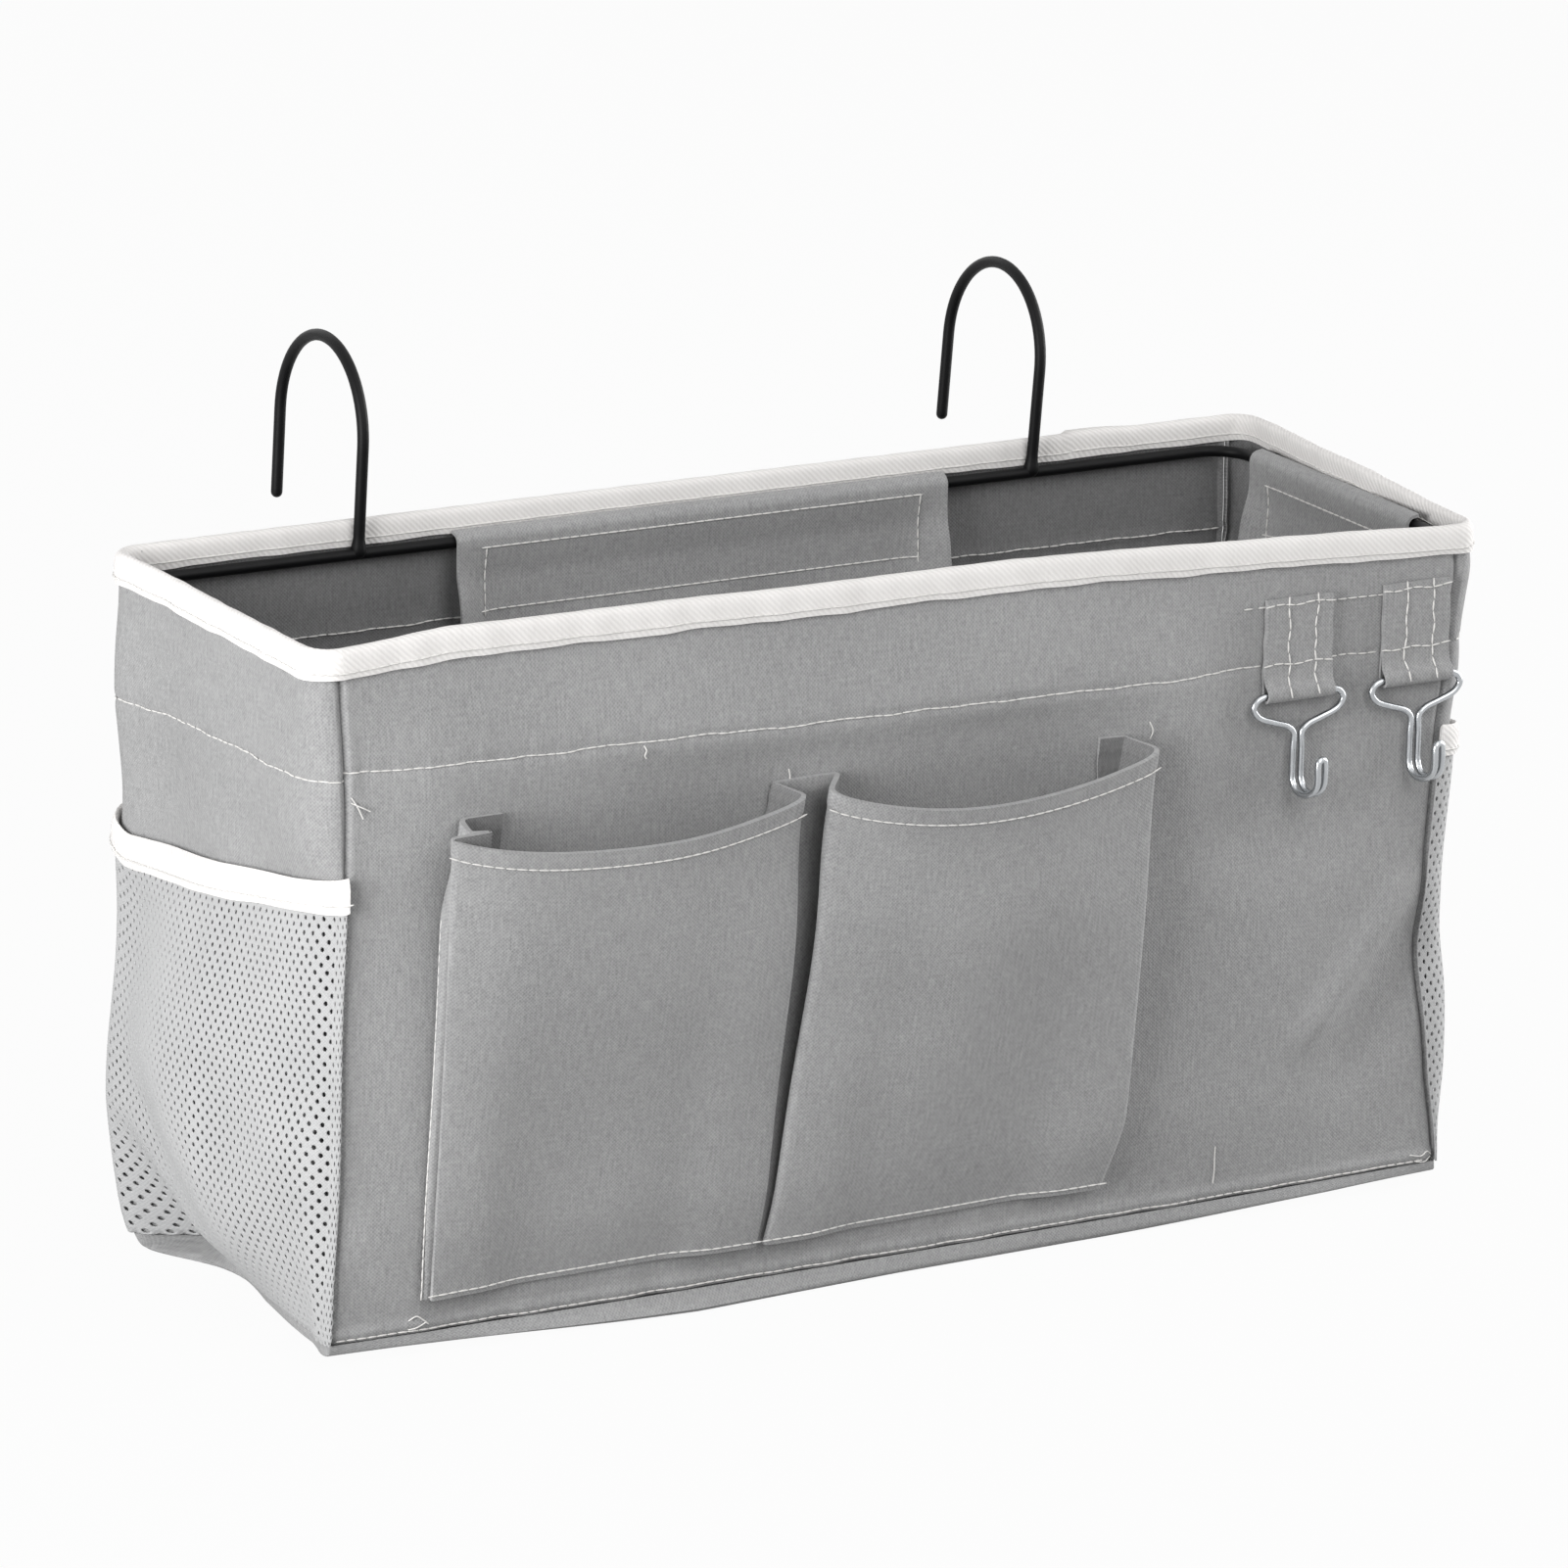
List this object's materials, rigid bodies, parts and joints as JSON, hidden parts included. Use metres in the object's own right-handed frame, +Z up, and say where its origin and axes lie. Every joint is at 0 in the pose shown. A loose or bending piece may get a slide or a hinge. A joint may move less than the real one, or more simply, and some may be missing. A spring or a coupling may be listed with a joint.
{
  "type": "bedside caddy",
  "caption": "Open rectangular cloth caddy that hangs on a bed rail by wire hooks, with pleated front pockets, mesh side pockets, swinging key hooks and flaps that hold its wire ring.",
  "frame": {"origin": "centre of the flat underside of the base", "axes": "+X along the width towards the key hooks, +Y towards the rail that the hooks go over, +Z up"},
  "size_m": [0.411, 0.2057, 0.2611],
  "materials": {
    "grey_cloth": "plain woven, matte",
    "white_tape": "twill tape, matte",
    "white_net": "knitted net",
    "closing_strip": "hook and loop tape",
    "black_wire": "coated, semi-gloss",
    "zinc_wire": "bright zinc plated"
  },
  "bodies": {
    "caddy": {"base_panel": "grey_cloth", "front_panel": "grey_cloth", "back_panel": "grey_cloth", "left_side_panel": "grey_cloth", "right_side_panel": "grey_cloth", "rim_binding": "white_tape", "wire_frame": "black_wire", "left_hang_hook": "black_wire", "right_hang_hook": "black_wire", "front_wall_strip": "closing_strip", "back_wall_strip": "closing_strip", "left_wall_strip": "closing_strip", "right_wall_strip": "closing_strip", "front_pocket_strip": "grey_cloth", "left_mesh_pocket": "white_net", "right_mesh_pocket": "white_net", "left_mesh_binding": "white_tape", "right_mesh_binding": "white_tape", "left_hook_tab": "grey_cloth", "right_hook_tab": "grey_cloth"},
    "front_flap": {"front_flap": "grey_cloth", "front_flap_strip": "closing_strip"},
    "back_flap": {"back_flap": "grey_cloth", "back_flap_strip": "closing_strip"},
    "left_flap": {"left_flap": "grey_cloth", "left_flap_strip": "closing_strip"},
    "right_flap": {"right_flap": "grey_cloth", "right_flap_strip": "closing_strip"},
    "left_key_hook": {"left_key_hook": "zinc_wire"},
    "right_key_hook": {"right_key_hook": "zinc_wire"}
  },
  "joints": [
    {"name": "front_flap_lift", "type": "hinge", "parent": "caddy", "child": "front_flap", "pos_m": [0, -0.0616, 0.2055], "axis": [1, 0, 0], "range_deg": [0, 130]},
    {"name": "back_flap_lift", "type": "hinge", "parent": "caddy", "child": "back_flap", "pos_m": [0, 0.0616, 0.2055], "axis": [-1, 0, 0], "range_deg": [0, 130]},
    {"name": "left_flap_lift", "type": "hinge", "parent": "caddy", "child": "left_flap", "pos_m": [-0.1866, 0, 0.2055], "axis": [0, -1, 0], "range_deg": [0, 130]},
    {"name": "right_flap_lift", "type": "hinge", "parent": "caddy", "child": "right_flap", "pos_m": [0.1866, 0, 0.2055], "axis": [0, 1, 0], "range_deg": [0, 130]},
    {"name": "left_key_hook_swing", "type": "hinge", "parent": "caddy", "child": "left_key_hook", "pos_m": [0.131, -0.0676, 0.1613], "axis": [-1, 0, 0], "range_deg": [0, 140]},
    {"name": "right_key_hook_swing", "type": "hinge", "parent": "caddy", "child": "right_key_hook", "pos_m": [0.172, -0.0676, 0.1613], "axis": [-1, 0, 0], "range_deg": [0, 140]}
  ]
}
